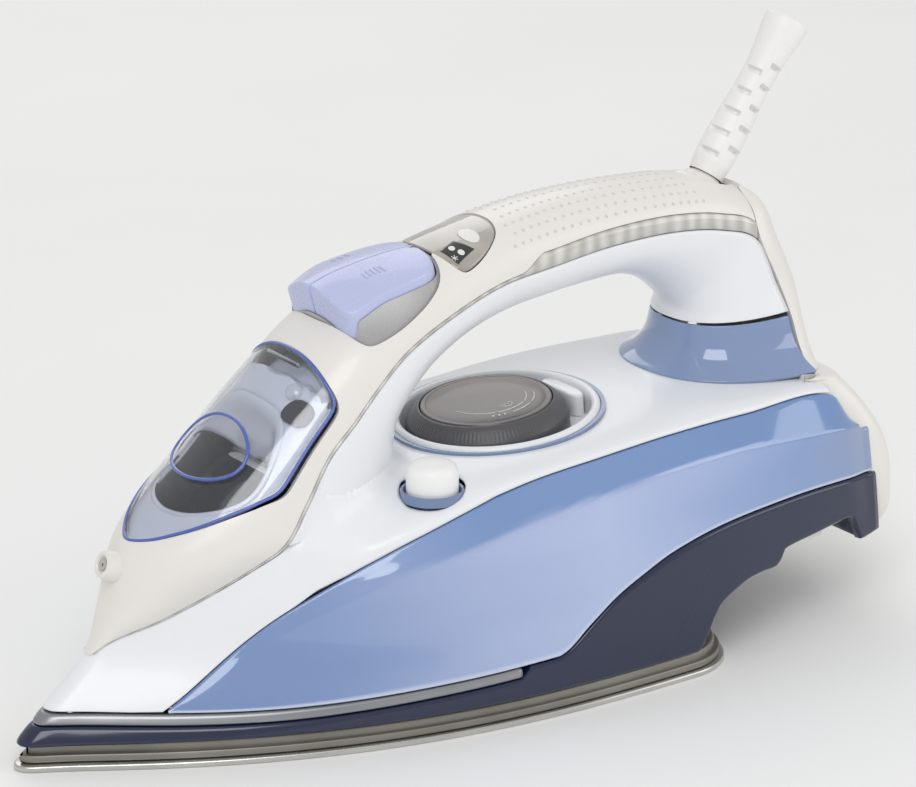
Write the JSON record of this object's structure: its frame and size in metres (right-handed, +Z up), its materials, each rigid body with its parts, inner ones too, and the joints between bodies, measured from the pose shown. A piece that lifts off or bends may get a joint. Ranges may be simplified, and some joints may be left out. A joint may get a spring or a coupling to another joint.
{
  "type": "steam iron",
  "caption": "Steam iron with pointed soleplate, translucent blue water tank, white loop handle, clear filler lid, spray and steam buttons, temperature dial and swivelling cord boot.",
  "frame": {"origin": "on the floor plane, under the centre of the overall box", "axes": "+X towards the heel, -X towards the nose, +Z up from the soleplate"},
  "size_m": [0.3, 0.12, 0.1901],
  "materials": {
    "sole_steel": "polished stainless steel soleplate",
    "cast_aluminium": "die-cast aluminium, as cast",
    "heater_metal": "steel heating tube and terminals",
    "navy_plastic": "glossy navy translucent plastic",
    "silver_strip": "satin silver painted trim strip",
    "blue_tank": "glossy translucent light-blue plastic water tank",
    "cool_white_plastic": "satin-gloss cool white plastic",
    "warm_white_plastic": "satin warm white plastic",
    "clear_trim": "smoky clear plastic trim",
    "blue_collar": "glossy translucent blue-grey plastic",
    "clear_lid": "clear plastic lid with a bluish edge",
    "basin_plastic": "pale blue-white plastic basin",
    "lavender_plastic": "satin lavender plastic buttons",
    "grey_plastic": "grey plastic recess",
    "dial_grey": "dark grey knurled dial",
    "dial_top": "brown-grey dial top with printed scale",
    "smoke_window": "smoky clear indicator window",
    "black_plastic": "black plastic panel and clamp",
    "white_lens": "white lamp lens",
    "pin_steel": "steel pin and springs",
    "hose_rubber": "silicone hose",
    "natural_plastic": "natural plastic moulding",
    "board_green": "green circuit board",
    "boot_white": "flexible white strain relief"
  },
  "bodies": {
    "root": {"soleplate": "sole_steel", "sole_casting": "cast_aluminium", "heating_element": "heater_metal", "steam_chamber_cover": "cast_aluminium", "skirt": "navy_plastic", "trim_strip": "silver_strip", "water_tank": "blue_tank", "lower_shell": "cool_white_plastic", "upper_shell": "warm_white_plastic", "trim_left": "clear_trim", "trim_right": "clear_trim", "rear_collar": "blue_collar", "rear_spine": "warm_white_plastic", "heel_cover": "warm_white_plastic", "cord_cleat": "warm_white_plastic", "filler_basin": "basin_plastic", "lid_pin": "pin_steel", "spray_nozzle": "natural_plastic", "button_well": "grey_plastic", "spray_pump_barrel": "natural_plastic", "steam_pump_barrel": "natural_plastic", "spray_spring": "pin_steel", "steam_spring": "pin_steel", "spray_hose": "hose_rubber", "steam_hose": "hose_rubber", "indicator_window": "smoke_window", "indicator_panel": "black_plastic", "auto_off_lamp": "white_lens", "indicator_lamp_1": "white_lens", "indicator_lamp_2": "white_lens", "control_board": "board_green", "dial_well": "cool_white_plastic", "thermostat": "heater_metal", "thermal_fuse": "natural_plastic", "heater_terminal_1": "heater_metal", "heater_terminal_2": "heater_metal", "terminal_block": "natural_plastic", "cord_clamp": "black_plastic", "push_cup": "blue_collar", "push_spring": "pin_steel", "cord_socket": "natural_plastic"},
    "dial": {"dial_ring": "dial_grey", "dial_cap": "dial_top", "dial_spindle": "natural_plastic"},
    "spray_button": {"spray_button": "lavender_plastic"},
    "steam_button": {"steam_button": "lavender_plastic"},
    "push_button": {"push_button": "cool_white_plastic"},
    "lid": {"filler_lid": "clear_lid"},
    "cord_swivel": {"cord_swivel": "boot_white"},
    "cord_boot": {"cord_boot": "boot_white"}
  },
  "joints": [
    {"name": "dial_turn", "type": "hinge", "parent": "root", "child": "dial", "pos_m": [0.018, 0, 0.07685], "axis": [-0.1039, 0, 0.9946], "range_deg": [-150, 120]},
    {"name": "spray_press", "type": "slide", "parent": "root", "child": "spray_button", "axis": [0.2667, 0, -0.9638], "range_m": [0, 0.0035], "stiffness_N_per_m": 900, "springref_m": -0.002, "deforming": ["spray_spring"]},
    {"name": "steam_press", "type": "slide", "parent": "root", "child": "steam_button", "axis": [0.2667, 0, -0.9638], "range_m": [0, 0.0035], "stiffness_N_per_m": 900, "springref_m": -0.002, "deforming": ["steam_spring"]},
    {"name": "push_press", "type": "slide", "parent": "root", "child": "push_button", "axis": [0, 0, -1], "range_m": [0, 0.004], "stiffness_N_per_m": 700, "springref_m": -0.002, "deforming": ["push_spring"]},
    {"name": "lid_hinge", "type": "hinge", "parent": "root", "child": "lid", "pos_m": [-0.05554, 0, 0.10836], "axis": [0, 1, 0], "range_deg": [0, 60]},
    {"name": "cord_turn", "type": "hinge", "parent": "root", "child": "cord_swivel", "pos_m": [0.0995, 0, 0.136], "axis": [0.5753, 0, 0.8179], "continuous": true},
    {"name": "cord_tilt", "type": "hinge", "parent": "cord_swivel", "child": "cord_boot", "pos_m": [0.0995, 0, 0.136], "axis": [0, 1, 0], "range_deg": [-14, 8]}
  ]
}
